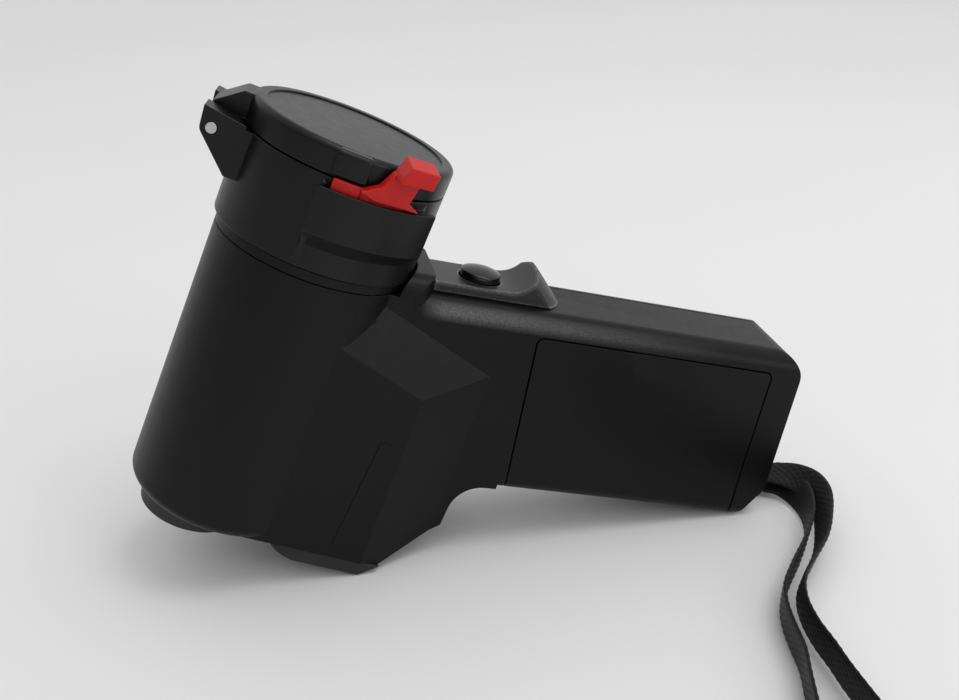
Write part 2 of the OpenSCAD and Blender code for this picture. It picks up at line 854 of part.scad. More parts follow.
module battery_cell() {
    color("#c9a23c") rest() handle_frame() translate([cell_x, cell_y, -cell_z]) {
        cylinder_x(cell_nub.x / 2, 0, cell_nub.y);
        cylinder_x(cell_d / 2, cell_nub.y, cell_len);
    }
}

module battery_plus_contact() {
    color(steel) rest() handle_frame() translate([tray_x + tray_wall, cell_y, -cell_z])
        translate([0, -contact_w / 2, -contact_w / 2]) cube([contact_t, contact_w, contact_w]);
}

cell_spring_wire = 0.8;
cell_spring_line = coil_line(2.6, 5.4, cell_spring_wire, 4, spring_room - seat_gap);
echo(cell_spring_gap = coil_gap(cell_spring_line, cell_spring_wire));

module battery_spring() {
    color(steel) rest() handle_frame()
        translate([cell_x + cell_len + seat_gap, cell_y, -cell_z]) rotate([0, 90, 0])
            coil(cell_spring_line, cell_spring_wire);
}

// Eyepiece

module eyecup_ring() {
    mouth = eye_lens_d / 2 + 0.4;
    lip = 1.2;
    notch_r = 0.5;
    color(rubber_black) rest() translate([eye_x, 0, 0]) difference() {
        translate([0, 0, -eyecup_h]) cylinder(d1 = eyecup_tip_d, d2 = eyecup_d, h = eyecup_h - eyecup_gap);
        translate([0, 0, lip - eyecup_h]) cylinder(d = eye_tube_d + 2 * running_gap, h = eyecup_h);
        translate([0, 0, -eyecup_h - cut]) cylinder(r = mouth, h = eyecup_h);
        for (i = [0:grip_notches - 1]) rotate([0, 0, 360 * i / grip_notches])
            translate([eyecup_d / 2 + 0.1, 0, -eyecup_h / 2]) cylinder(r = notch_r, h = eyecup_h);
    }
}

module eyepiece_tube() {
    color(rubber_black) rest() translate([eye_x, 0, 0]) {
        tube(eye_tube_d / 2, eye_tube_d / 2 - eye_wall, eye_tube_rear, eye_tube_front);
        tube(eye_tube_d / 2 + eye_collar, eye_tube_d / 2 - eye_wall, wall, wall + eye_collar);
    }
}

module lens(d, edge, front, rear) {
    r = d / 2;
    front_r = (r * r + front * front) / (2 * front);
    rear_r = (r * r + rear * rear) / (2 * rear);
    rotate_extrude() intersection() {
        translate([0, -rear]) square([r, edge + front + rear]);
        translate([0, edge + front - front_r]) circle(front_r, $fn = lens_sides);
        translate([0, rear_r - rear]) circle(rear_r, $fn = lens_sides);
    }
}

module eyepiece_lens() {
    color(glass_tint) rest() translate([eye_x, 0, eye_tube_rear + 1.6]) lens(eye_lens_d, 2, 1, 0.8);
}

// Taking lens and reflex block

module lens_cell() {
    outer = bezel_bore / 2 - seat_gap / 2;
    rear = barrel_len - spigot_len + cut;
    color(rubber_black) rest() {
        tube(outer, field_d / 2 - 1.2, rear, rear + cut);
        tube(outer, field_d / 2 + seat_gap / 2, rear + cut, objective_z);
        tube(outer, objective_d / 2 + seat_gap / 2, objective_z, objective_z + 2 * lens_edge + cut);
    }
}

module objective_lens() {
    color(glass_tint) rest() translate([0, 0, objective_z + lens_seat])
        lens(objective_d, lens_edge, 2.4, 1.2);
}

module field_lens() {
    color(glass_tint) rest() translate([0, 0, barrel_len - spigot_len + 2 * cut + lens_seat])
        lens(field_d, 2.4, 1.4, 0.6);
}

module lens_retainer() {
    seat = objective_z + lens_seat + lens_edge + 0.6;
    color(rubber_black) rest() tube(objective_d / 2, objective_d / 2 - 1.8, seat, seat + 1.6);
}

module light_baffle() {
    color(rubber_black) rest() tube(bore_r - seat_gap, baffle_hole, baffle_z, baffle_z + baffle_t);
}

splitter_size = [16, 14, 16];
splitter_place = [-9, 0, 14];

module optics_carrier() {
    color(rubber_black) rest() difference() {
        translate([0, 0, carrier_z.x]) cylinder(r = bore_r - seat_gap, h = carrier_z.y - carrier_z.x);
        translate([splitter_place.x - seat_gap, -splitter_size.y / 2 - seat_gap, splitter_place.z])
            cube([splitter_size.x + 2 * seat_gap, splitter_size.y + 2 * seat_gap, far]);
        translate([eye_x, 0, 0]) cylinder(r = sight_r, h = far / 4);
        translate([0, 0, splitter_place.z + splitter_size.z / 2]) cylinder_x(4.6, 0, far);
    }
}

module splitter_half(side) {
    size = splitter_size;
    front = [[0, size.z], [size.x, seat_gap], [size.x, size.z]];
    rear = [[0, 0], [size.x, 0], [0, size.z - seat_gap]];
    color(glass_tint) rest() translate(splitter_place) along_y(size.y) polygon(side > 0 ? front : rear);
}

module splitter_front() {
    splitter_half(1);
}

module splitter_rear() {
    splitter_half(-1);
}

module photocell() {
    face = splitter_place.x + splitter_size.x + 2 * seat_gap;
    color(steel) rest() translate([0, 0, splitter_place.z + splitter_size.z / 2]) {
        cylinder_x(photocell_can.x, face, face + photocell_can.y);
        cylinder_x(photocell_neck.x, face + photocell_can.y, face + photocell_can.y + photocell_neck.y);
    }
}

// Electronics on the display side

module circuit_board() {
    color(board_green) rest() {
        translate([board_x[0], board_y, board_z[0]])
            cube([board_x[1] - board_x[0], board_t, board_z[1] - board_z[0]]);
        for (chip = board_chips) translate([chip[0], board_y - chip_t, chip[1]])
            cube([chip[2], chip_t, chip[3]]);
    }
}

module display_window() {
    color("#39424a") rest() translate([window_x, cheek_half - window_t / 2, window_z])
        cube([window_w, window_t, window_h], center = true);
}

module display_panel() {
    color("#7d8a78") rest() translate([window_x, cheek_half - wall - display_t / 2, window_z])
        cube([window_w, display_t, window_h], center = true);
}

module key_mat() {
    top = key_base - mat_room;
    color("#55585c") rest() translate([mat_place.x, board_y + board_t, mat_place.y])
        cube([mat_size.x, top - board_y - board_t, mat_size.y]);
}

module key(index) {
    place = key_places[index];
    color("#3a3c40") rest() translate([place.x, 0, place.y]) {
        translate([0, (key_base + cheek_half + key_h) / 2, 0])
            along_y(cheek_half + key_h - key_base) stadium([key_len, key_w]);
        translate([0, key_base + key_flange_t / 2, 0])
            along_y(key_flange_t) stadium([key_len + 2 * key_flange, key_w + 2 * key_flange]);
    }
}

module mode_key() {
    key(0);
}

module film_key() {
    key(1);
}

module memory_key() {
    key(2);
}

module up_key() {
    key(3);
}

module down_key() {
    key(4);
}

// Handle end

module tripod_bush() {
    color(brass) rest() end_frame(-bush_z) difference() {
        cylinder_x(bush_d / 2, -bush_len, 0);
        cylinder_x(bush_bore / 2, -bush_len - cut, cut);
    }
}

module sync_terminal() {
    color(steel) rest() end_frame(-sync_z) {
        difference() {
            cylinder_x(sync_d / 2, -bush_len, 0.8);
            cylinder_x(1.6, -bush_len + 2, far);
        }
        cylinder_x(0.5, -bush_len + cut, 0);
    }
}

module strap_pin() {
    color(steel) rest() handle_frame() translate([lug_x, 0, lug_z])
        cylinder_y(strap_pin_d / 2, -lug_w + 0.4, lug_w / 2 + cut);
}

module case_screws() {
    for (place = screw_places) color(steel) rest() handle_frame() translate([place.x, 0, place.y]) {
        cylinder_y(screw_shank.x / 2, grip_half - screw_head.y - screw_shank.y, grip_half - screw_head.y);
        difference() {
            cylinder_y(screw_head.x / 2, grip_half - screw_head.y, grip_half - 0.2);
            translate([-far / 2, grip_half - 0.8, -0.3]) cube([far, far, 0.6]);
        }
    }
}

// Strap

function curve_point(p, i, t) =
    let (a = p[max(i - 1, 0)], b = p[i], c = p[i + 1], d = p[min(i + 2, len(p) - 1)])
    0.5 * (2 * b + (c - a) * t + (2 * a - 5 * b + 4 * c - d) * t * t + (3 * b - a - 3 * c + d) * t * t * t);

function strap_ring(p, i, stand) =
    let (
        t = tangent(p, i),
        side = unit(cross([0, 0, 1], t)),
        up = cross(t, side),
        wide = strap_w / 2 * (side * cos(stand) + up * sin(stand)),
        thick = strap_t / 2 * (up * cos(stand) - side * sin(stand))
    )
    [for (c = [[1, -0.5], [1, 0.5], [0.9, 1], [-0.9, 1], [-1, 0.5], [-1, -0.5], [-0.9, -1], [0.9, -1]])
        p[i] + wide * c.x + thick * c.y];

module wrist_strap() {
    curve = concat(
        [
            for (i = [0:len(strap_route) - 2], k = [0:strap_steps - 1])
                curve_point(strap_route, i, k / strap_steps)
        ],
        [strap_route[len(strap_route) - 1]]
    );
    middle = [for (c = curve) [c[0], c[1], c[2]]];
    color(rubber_black) sweep([for (i = [0:len(middle) - 1]) strap_ring(middle, i, curve[i][3])]);
}

// Flip cap

module hinge_frame() {
    rotate([0, 0, -hinge_turn]) children();
}

module latch_frame() {
    rotate([0, 0, -latch_turn]) children();
}

// A profile turned about the optical axis between two directions, both turned from the handle to the cheek
module swept(from, to) {
    rotate([0, 0, -to]) rotate_extrude(angle = to - from) children();
}

module hinge_ears() {
    ear_y = ear_gap / 2 + ear_t / 2;
    pin = [-hinge_x, hinge_z];
    foot = [0.2 - sleeve_r, sleeve_z1 - ear_len];
    corner = [-hinge_x - ear_back, sleeve_z1 + ear_rise];
    root = 4 - sleeve_r;
    reach = norm(pin - foot);
    edge_turn = atan2(pin.y - foot.y, pin.x - foot.x) + asin(ear_r / reach);
    hinge_frame() difference() {
        for (side = [-1, 1]) translate([0, side * ear_y, 0]) along_y(ear_t) polygon([
            foot, each arc(pin, ear_r, edge_turn + 90, 180), corner,
            [root, corner.y - (root - corner.x) * tan(ear_fall)], [root, foot.y]
        ]);
        translate([0, 0, sleeve_z1]) cylinder(r = lid_r + ear_clear, h = far);
    }
}

module cap_sleeve() {
    color(rubber_black) rest() difference() {
        union() {
            tube(sleeve_r, sleeve_bore, sleeve_z0, sleeve_z1);
            hinge_ears();
            swept(pocket_turn - pocket_span, pocket_turn + pocket_span) polygon([
                [sleeve_r - cut, pocket_low + sleeve_r - pocket_r - cut], [pocket_r, pocket_low],
                [pocket_r, pocket_rim], [sleeve_r - cut, pocket_rim]
            ]);
        }
        translate([0, 0, sleeve_z0 - cut]) cylinder(r = sleeve_bore, h = far);
        swept(pocket_mouth, latch_turn + latch_span[1] + latch_room)
            translate([pocket_in, pocket_floor]) square([pocket_out - pocket_in, far]);
        latch_frame() translate([0, 0, latch_pin_z])
            cylinder_x(latch_pin_d / 2, hood_d / 2 - cut, pocket_r - 0.5);
        hinge_frame() translate([-hinge_x, 0, hinge_z])
            cylinder_y(hinge_pin_d / 2, -far / 2, far / 2);
    }
}

lid_spring_wire = 0.7;
lid_spring_len = 6.6;
lid_spring_r = hinge_pin_d / 2 + 0.5;
lid_spring_line = coil_line(lid_spring_r, lid_spring_r, lid_spring_wire, 4, lid_spring_len);
echo(lid_spring_gap = coil_gap(lid_spring_line, lid_spring_wire));

module lid_lug() {
    knuckle_r = ear_r - 0.1;
    crest = [-lid_r - 1.3, lid_top - 0.4];
    tail = [-hinge_x - 1.8, hinge_z + 4.1];
    root = 1.6 - lid_r;
    hinge_frame() difference() {
        along_y(ear_gap - 2 * slide_gap) {
            translate([-hinge_x, hinge_z]) circle(knuckle_r);
            polygon([
                [-hinge_x - knuckle_r, hinge_z], tail, crest, [root, crest.y], [root, lid_z + 0.6],
                [3.4 - hinge_x, lid_z], [knuckle_r - hinge_x, hinge_z]
            ]);
        }
        translate([-hinge_x, 0, hinge_z]) {
            cylinder_y(hinge_pin_d / 2 + running_gap, -far / 2, far / 2);
            cylinder_y(
                lid_spring_r + lid_spring_wire / 2 + slide_gap, -lid_spring_len / 2 - slide_gap,
                lid_spring_len / 2 + slide_gap
            );
        }
    }
}

module cap_lid() {
    rim = 1.5;
    step_r = lid_r - 3.2;
    step_depth = 0.4;
    tab_reach = lid_r + 1.6;
    tab_root = lid_r - 1;
    tab_low = lid_z + 0.8;
    tab_round = 1.2;
    tab_span = asin(tab_w / 2 / tab_reach);
    color(rubber_black) rest() {
        rotate_extrude() difference() {
            union() {
                translate([0, lid_z]) square([lid_r, lid_h - rim]);
                translate([0, lid_z]) square([lid_r - rim, lid_h]);
                translate([lid_r - rim, lid_top - rim]) circle(rim);
            }
            translate([-cut, lid_z - cut]) square([lid_r - lid_skin + cut, lid_h - lid_skin + cut]);
            translate([-cut, lid_top - step_depth]) square([step_r + cut, cut]);
        }
        lid_lug();
        swept(tab_turn - tab_span, tab_turn + tab_span) {
            translate([tab_root, tab_low]) square([tab_reach - tab_root, lid_top - tab_round - tab_low]);
            translate([tab_root, tab_low]) square([tab_reach - tab_round - tab_root, lid_top - tab_low]);
            translate([tab_reach - tab_round, lid_top - tab_round]) circle(tab_round);
        }
    }
}

module cap_hinge_pin() {
    half = ear_gap / 2 + ear_t + 0.3;
    color(steel) rest() hinge_frame() translate([-hinge_x, 0, hinge_z])
        cylinder_y(hinge_pin_d / 2, -half, half);
}

module cap_hinge_spring() {
    color(steel) rest() hinge_frame() translate([-hinge_x, lid_spring_len / 2, hinge_z])
        rotate([90, 0, 0]) coil(lid_spring_line, lid_spring_wire);
}

module latch_pin() {
    color(steel) rest() latch_frame() translate([0, 0, latch_pin_z])
        cylinder_x(latch_pin_d / 2, hood_d / 2 + 0.3, pocket_out + 0.5);
}

module cap_latch() {
    base_z = latch_pin_z - 1.9;
    base_top = sleeve_z1 + 0.6;
    stem = [latch_in - 0.2, latch_out + 0.6];
    stem_foot = pocket_rim + 0.4;
    neck_z = thumb_z[0] + 1;
    thumb_end = thumb_y0 + thumb_w;
    color(latch_red) rest() difference() {
        union() {
            swept(latch_turn - latch_span[0], latch_turn + latch_span[1])
                translate([latch_in, base_z]) square([latch_out - latch_in, base_top - base_z]);
            latch_frame() {
                along_x(stem[0], stem[1]) polygon([
                    [-5.3, stem_foot + 1.1], [-2, stem_foot], [thumb_end - 0.1, stem_foot],
                    [thumb_end - 2.8, base_top - 0.2], [thumb_end - 1.8, neck_z], [thumb_y0 + 0.2, neck_z],
                    [-1.4, base_top + 1.7], [-4, base_top + 0.2], [-5.3, base_top - 0.2]
                ]);
                intersection() {
                    along_x(stem[0], thumb_r) polygon([
                        [thumb_y0, thumb_z[0]], [thumb_end - 0.6, thumb_z[0] + 0.3],
                        [thumb_end, thumb_z[1]], [thumb_y0 + 1.7, thumb_z[1]]
                    ]);
                    along_y(far) polygon([
                        [stem[0], thumb_z[0]], [thumb_r, thumb_z[0]], [thumb_r, thumb_z[1] - 1],
                        [stem[0], thumb_z[1]]
                    ]);
                }
            }
        }
        latch_frame() translate([0, 0, latch_pin_z])
            cylinder_x(latch_pin_d / 2 + running_gap, hood_d / 2, pocket_r);
    }
}

right_shell();
left_shell();
front_bezel();
heel_pad();
trigger_plate();
measuring_button();
measuring_switch();
battery_door();
battery_tray();
battery_cell();
battery_plus_contact();
battery_spring();
eyecup_ring();
eyepiece_tube();
eyepiece_lens();
lens_cell();
objective_lens();
field_lens();
lens_retainer();
light_baffle();
optics_carrier();
splitter_front();
splitter_rear();
photocell();
circuit_board();
display_window();
display_panel();
key_mat();
mode_key();
film_key();
memory_key();
up_key();
down_key();
tripod_bush();
sync_terminal();
strap_pin();
wrist_strap();
case_screws();
cap_sleeve();
cap_lid();
cap_hinge_pin();
cap_hinge_spring();
cap_latch();
latch_pin();
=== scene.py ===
"""Studio picture of a pistol-grip spot meter with a flip-open lens cap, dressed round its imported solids."""
import json
import math

import bmesh
import bpy
from mathutils import Matrix, Vector

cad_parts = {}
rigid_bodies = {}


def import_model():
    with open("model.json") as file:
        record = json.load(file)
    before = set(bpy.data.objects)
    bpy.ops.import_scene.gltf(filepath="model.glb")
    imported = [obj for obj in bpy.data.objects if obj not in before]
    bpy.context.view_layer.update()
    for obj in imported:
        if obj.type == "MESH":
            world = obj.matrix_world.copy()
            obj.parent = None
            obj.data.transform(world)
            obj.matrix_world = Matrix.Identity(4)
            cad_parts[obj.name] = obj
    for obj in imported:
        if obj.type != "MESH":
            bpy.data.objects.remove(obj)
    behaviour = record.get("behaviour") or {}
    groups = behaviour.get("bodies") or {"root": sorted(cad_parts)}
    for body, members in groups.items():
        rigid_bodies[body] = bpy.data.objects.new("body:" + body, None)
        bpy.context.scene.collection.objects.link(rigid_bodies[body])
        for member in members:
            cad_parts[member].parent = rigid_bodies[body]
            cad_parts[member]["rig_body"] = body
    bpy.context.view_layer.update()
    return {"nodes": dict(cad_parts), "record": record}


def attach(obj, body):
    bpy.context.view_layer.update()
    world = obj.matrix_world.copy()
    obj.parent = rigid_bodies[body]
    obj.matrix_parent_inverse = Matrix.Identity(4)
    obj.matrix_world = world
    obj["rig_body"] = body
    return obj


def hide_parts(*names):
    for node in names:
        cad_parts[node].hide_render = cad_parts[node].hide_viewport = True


MM = 0.001

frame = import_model()

# Camera, at the photograph's place and viewing angle
PHOTO_WIDTH = 959
FOCAL_PIXELS = 1100
SENSOR_WIDTH = 36.0
CLIP_START = 0.01
CAMERA_PLACE = Vector((-44.87, -232.65, 164.78)) * MM
CAMERA_TILT = math.radians(90 - 25.9)
CAMERA_TURN = math.radians(-11.4)


def make_camera():
    data = bpy.data.cameras.new("camera")
    data.sensor_width = SENSOR_WIDTH
    data.lens = FOCAL_PIXELS * SENSOR_WIDTH / PHOTO_WIDTH
    data.clip_start = CLIP_START
    camera = bpy.data.objects.new("camera", data)
    camera.location = CAMERA_PLACE
    camera.rotation_euler = (CAMERA_TILT, 0, CAMERA_TURN)
    bpy.context.scene.collection.objects.link(camera)
    bpy.context.scene.camera = camera


# Materials


class Shader:
    """A material under construction, with short ways to add nodes and to set or link their sockets."""

    def __init__(self, name):
        self.material = bpy.data.materials.new(name)
        self.material.use_nodes = True
        self.tree = self.material.node_tree
        self.surface = self.tree.nodes["Principled BSDF"]
        self.place = self.add("TexCoord").outputs["Object"]

    def add(self, kind, operation=None, **sockets):
        node = self.tree.nodes.new("ShaderNode" + kind)
        if operation:
            node.operation = operation
        for name, value in sockets.items():
            self.put(node, name.replace("_", " "), value)
        return node

    def put(self, node, socket, value):
        target = node.inputs[socket]
        if isinstance(value, bpy.types.NodeSocket):
            self.tree.links.new(value, target)
        else:
            target.default_value = value

    def finish(self, **sockets):
        for name, value in sockets.items():
            self.put(self.surface, name.replace("_", " "), value)
        return self.material

    def noise(self, scale, detail, place=None):
        node = self.add("TexNoise", Scale=scale, Detail=detail, Vector=place or self.place)
        return node.outputs["Fac"]

    def combine(self, operation, first, second, kind="VectorMath"):
        node = self.add(kind, operation)
        self.put(node, 0, first)
        self.put(node, 1, second)
        return node

    def span(self, value, low, high, at_low=0.0, at_high=1.0):
        node = self.add("MapRange", Value=value, From_Min=low, From_Max=high, To_Min=at_low, To_Max=at_high)
        return node.outputs["Result"]

    def between(self, factor, low, high):
        return self.span(factor, 0.0, 1.0, low, high)

    def tones(self, factor, dark, light, low=0.3, high=0.7):
        ramp = self.add("ValToRGB", Fac=factor)
        ends = ramp.color_ramp.elements
        ends[0].position, ends[0].color = low, (*dark, 1)
        ends[1].position, ends[1].color = high, (*light, 1)
        return ramp.outputs["Color"]

    def bump(self, height, depth):
        node = self.add("Bump", Height=height, Distance=depth, Strength=1.0)
        return node.outputs["Normal"]


def grey(value):
    return (value, value, value)


# Scales of the noise in the finishes, per metre, and the stretch of the streaks on metal
CLOUD = 70
GLOSS = 420
GRAIN = 1 / (0.32 * MM)
BOARD_GRAIN = 1 / (1.6 * MM)
SPECKLE = 1 / (0.26 * MM)
COARSE_SPECKLE = 1 / (0.5 * MM)
YARN = 2600
STREAK = 4
STREAK_STRETCH = (900, 60, 900)

# Near front edge of the handle: a point on it, its direction, and the reach across and along it of a painted
# highlight
GRIP_EDGE = Vector((-11.203, -10.043, 65.913)) * MM
GRIP_WAY = (0.9685, 0, -0.2489)
HIGHLIGHT_CORE = 0.6 * MM
HIGHLIGHT_REACH = 2.6 * MM
HIGHLIGHT_START = (-2 * MM, 3 * MM)
HIGHLIGHT_FADE = (8 * MM, 75 * MM)
# Pale tone of the painted highlight, far above the black plastic's own tone
HIGHLIGHT_TONE = grey(0.15)

# Reach of the wear and the painted sheen along the finger plate's edges
PLATE_WEAR_AND_SHEEN = 1.5 * MM


def moulded(name, tone, roughness, grain=GRAIN, depth=0.016, **sockets):
    """Dark moulded plastic with a fine spark-eroded grain, whose depth is in millimetres."""
    s = Shader(name)
    light = tuple(1.35 * c for c in tone)
    return s.finish(
        Base_Color=s.tones(s.noise(CLOUD, 4), tone, light),
        Roughness=s.between(s.noise(GLOSS, 3), roughness - 0.06, roughness + 0.06),
        Normal=s.bump(s.noise(grain, 3), depth * MM),
        **sockets,
    )


def shell():
    """Grained black plastic with a painted highlight: a pale, speckled band along the handle's near front
    edge.
    """
    s = Shader("shell_plastic")
    offset = s.combine("SUBTRACT", s.place, GRIP_EDGE).outputs["Vector"]
    along = s.combine("DOT_PRODUCT", offset, GRIP_WAY).outputs["Value"]
    across = s.combine("CROSS_PRODUCT", offset, GRIP_WAY).outputs["Vector"]
    away = s.add("VectorMath", "LENGTH", Vector=across).outputs["Value"]
    # Mask of the painted highlight: full on the edge, fading across it and along the handle, and speckled
    sheen_and_wear = s.span(away, HIGHLIGHT_CORE, HIGHLIGHT_REACH, 1.0, 0.0)
    start = s.span(along, *HIGHLIGHT_START)
    fade = s.span(along, *HIGHLIGHT_FADE, 1.0, 0.0)
    speckle = s.span(s.noise(SPECKLE, 2), 0.35, 0.7, 0.35)
    for part in (start, fade, speckle):
        sheen_and_wear = s.combine("MULTIPLY", sheen_and_wear, part, kind="Math").outputs["Value"]
    return s.finish(
        Base_Color=s.tones(sheen_and_wear, grey(0.0024), HIGHLIGHT_TONE, 0.0, 1.0),
        Roughness=s.between(s.noise(GLOSS, 3), 0.33, 0.43),
        Normal=s.bump(s.noise(GRAIN, 3), 0.03 * MM),
        Specular_IOR_Level=0.2,
    )


def worn_and_sheened(name, tone, wear_and_sheen_tone, roughness):
    """Moulded plastic with paler, speckled edges, partly real wear and partly a painted sheen, and polished
    there to a lower roughness.
    """
    s = Shader(name)
    rim = s.add("Bevel", Radius=PLATE_WEAR_AND_SHEEN).outputs["Normal"]
    face = s.add("NewGeometry").outputs["Normal"]
    along = s.combine("DOT_PRODUCT", rim, face).outputs["Value"]
    edge = s.span(along, 0.995, 0.75)
    speckle = s.span(s.noise(COARSE_SPECKLE, 3), 0.35, 0.65, 0.1)
    # Mask of the paler edges: partly real wear, partly painted sheen
    sheen_and_wear = s.combine("MULTIPLY", edge, speckle, kind="Math").outputs["Value"]
    return s.finish(
        Base_Color=s.tones(sheen_and_wear, tone, wear_and_sheen_tone, 0.0, 1.0),
        Roughness=s.between(sheen_and_wear, roughness, roughness - 0.12),
        Normal=s.bump(s.noise(GRAIN, 3), 0.02 * MM),
        Specular_IOR_Level=0.45,
    )


def metal(name, tone, roughness):
    s = Shader(name)
    stretch = s.add("Mapping", Vector=s.place, Scale=STREAK_STRETCH)
    streak = s.noise(STREAK, 3, stretch.outputs["Vector"])
    return s.finish(
        Base_Color=s.tones(streak, tuple(0.8 * c for c in tone), tone),
        Metallic=1.0,
        Roughness=s.between(streak, roughness - 0.08, roughness + 0.1),
        Normal=s.bump(streak, 0.006 * MM),
    )


def glass(name, tone, roughness, coat):
    s = Shader(name)
    return s.finish(
        Base_Color=s.tones(s.noise(60, 2), tuple(0.96 * c for c in tone), tone),
        Roughness=s.between(s.noise(300, 2), roughness, roughness + 0.02),
        Transmission_Weight=1.0,
        IOR=1.52,
        Coat_Weight=0.6,
        Coat_Tint=(*coat, 1),
    )


def webbing():
    s = Shader("webbing")
    yarn = s.noise(YARN, 3)
    return s.finish(
        Base_Color=s.tones(yarn, grey(0.0025), grey(0.012)),
        Roughness=s.between(yarn, 0.5, 0.7),
        Normal=s.bump(yarn, 0.03 * MM),
        Specular_IOR_Level=0.3,
        Sheen_Weight=0.06,
        Sheen_Roughness=0.4,
    )


MATERIALS = {
    "shell_plastic": shell(),
    # Finger plate: edges paler from real wear and from a painted sheen
    "trigger_plastic": worn_and_sheened("trigger_plastic", grey(0.006), grey(0.3), 0.36),
    "button_plastic": moulded("button_plastic", grey(0.004), 0.16, depth=0.003),
    "cap_plastic": moulded("cap_plastic", grey(0.002), 0.34, depth=0.010, Specular_IOR_Level=0.28),
    "latch_plastic": moulded(
        "latch_plastic", (0.42, 0.0065, 0.005), 0.4, depth=0.008, Specular_IOR_Level=0.3,
    ),
    "pad_rubber": moulded("pad_rubber", grey(0.008), 0.6, depth=0.02),
    "inner_plastic": moulded("inner_plastic", grey(0.009), 0.6),
    "key_rubber": moulded("key_rubber", grey(0.035), 0.5),
    "mat_rubber": moulded("mat_rubber", grey(0.09), 0.6),
    "board": moulded("board", (0.01, 0.09, 0.035), 0.35, grain=BOARD_GRAIN, depth=0.05),
    "cell_jacket": moulded("cell_jacket", (0.35, 0.16, 0.02), 0.3, depth=0.004),
    "steel": metal("steel", grey(0.58), 0.32),
    "brass": metal("brass", (0.62, 0.43, 0.16), 0.34),
    "lens_glass": glass("lens_glass", (0.93, 0.95, 0.97), 0.0, (0.75, 0.85, 1.0)),
    "window_plastic": glass("window_plastic", (0.6, 0.64, 0.66), 0.04, (1, 1, 1)),
    "display_glass": moulded("display_glass", (0.2, 0.23, 0.18), 0.25, depth=0.003),
    "webbing": webbing(),
}

# Dressing of the solids

SLOT_OF = {part["node"]: part["material_slot"] for part in frame["record"]["subparts"]}


def body_of(node):
    return frame["nodes"][node]["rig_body"]


def new_piece(name, mesh, body, slot):
    piece = bpy.data.objects.new(name, mesh)
    bpy.context.scene.collection.objects.link(piece)
    mesh.materials.append(MATERIALS[slot])
    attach(piece, body)
    return piece


def smooth(piece):
    for face in piece.data.polygons:
        face.use_smooth = True
    weighted = piece.modifiers.new("even shading", "WEIGHTED_NORMAL")
    weighted.keep_sharp = True


EDGE_ANGLE = math.radians(28)
FACET_ANGLE = math.radians(13)
FACETED = ("right_shell", "left_shell")
ACUTE = math.radians(25)
FLAT_ANGLE = math.radians(0.5)
ROUND_SEGMENTS = 3
WELD = 0.003 * MM


def sharp_edges(shape, limit):
    """Convex edges over an angle, less the shorter of two that leave a corner nearly together."""
    edges = {e for e in shape.edges if len(e.link_faces) == 2 and e.calc_face_angle_signed() > limit}
    for corner in shape.verts:
        meeting = sorted((e for e in corner.link_edges if e in edges), key=lambda e: e.calc_length())
        ways = [e.other_vert(corner).co - corner.co for e in meeting]
        for i, edge in enumerate(meeting):
            if any(ways[i].angle(way) < ACUTE for way in ways[i + 1:]):
                edges.discard(edge)
    return [e for e in shape.edges if e in edges]


def rounded(node, radius):
    """A copy of a solid with its sharp edges rounded, which stands for it."""
    shape = bmesh.new()
    shape.from_mesh(frame["nodes"][node].data)
    bmesh.ops.remove_doubles(shape, verts=shape.verts, dist=WELD)
    bmesh.ops.dissolve_limit(shape, angle_limit=FLAT_ANGLE, verts=shape.verts, edges=shape.edges)
    limit = FACET_ANGLE if node in FACETED else EDGE_ANGLE
    edges = sharp_edges(shape, limit)
    for edge in set(shape.edges) - set(edges):
        edge.smooth = edge.calc_face_angle(0.0) < limit
    bmesh.ops.bevel(
        shape, geom=edges, offset=radius * MM, offset_type="OFFSET", segments=ROUND_SEGMENTS, profile=0.5,
        affect="EDGES", clamp_overlap=False,
    )
    mesh = bpy.data.meshes.new(node + "_skin")
    shape.to_mesh(mesh)
    shape.free()
    piece = new_piece(node + "_skin", mesh, body_of(node), SLOT_OF[node])
    smooth(piece)
    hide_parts(node)


# Radii of the rounded edges, in millimetres
EDGE_RADII = {
    "right_shell": 0.22, "left_shell": 0.22, "battery_door": 0.2, "front_bezel": 0.15, "heel_pad": 0.5,
    "trigger_plate": 0.35, "measuring_button": 0.3, "eyecup_ring": 0.15, "cap_sleeve": 0.25, "cap_lid": 0.3,
    "cap_latch": 0.25, "cap_hinge_pin": 0.15, "tripod_bush": 0.2, "sync_terminal": 0.15,
    "mode_key": 0.3, "film_key": 0.3, "memory_key": 0.3, "up_key": 0.3, "down_key": 0.3,
}


def dress_solids():
    for node, solid in frame["nodes"].items():
        if node == "wrist_strap":
            continue
        if node in EDGE_RADII:
            rounded(node, EDGE_RADII[node])
        else:
            solid.data.materials.clear()
            solid.data.materials.append(MATERIALS[SLOT_OF[node]])


# Bare raised strip along the right cheek, in the resting frame

STRIP_FOOT = Vector((-35.4, -17.0, 9.8)) * MM
STRIP_TOP = Vector((-22.6, -17.0, 36.1)) * MM
STRIP_WIDTH = 3.4 * MM
STRIP_RISE = 0.2 * MM
STRIP_ROUND = 0.12 * MM


def make_strip():
    way = STRIP_TOP - STRIP_FOOT
    place = (
        Matrix.Translation((STRIP_FOOT + STRIP_TOP) / 2)
        @ Matrix.Rotation(-math.atan2(way.z, way.x), 4, "Y")
        @ Matrix.Diagonal((way.length, 2 * STRIP_RISE, STRIP_WIDTH, 1))
    )
    shape = bmesh.new()
    bmesh.ops.create_cube(shape, size=1, matrix=place)
    bmesh.ops.bevel(
        shape, geom=shape.edges[:], offset=STRIP_ROUND, offset_type="OFFSET", segments=ROUND_SEGMENTS,
        profile=0.5, affect="EDGES",
    )
    mesh = bpy.data.meshes.new("cheek_strip")
    shape.to_mesh(mesh)
    shape.free()
    smooth(new_piece("cheek_strip", mesh, body_of("right_shell"), SLOT_OF["right_shell"]))


# Strap

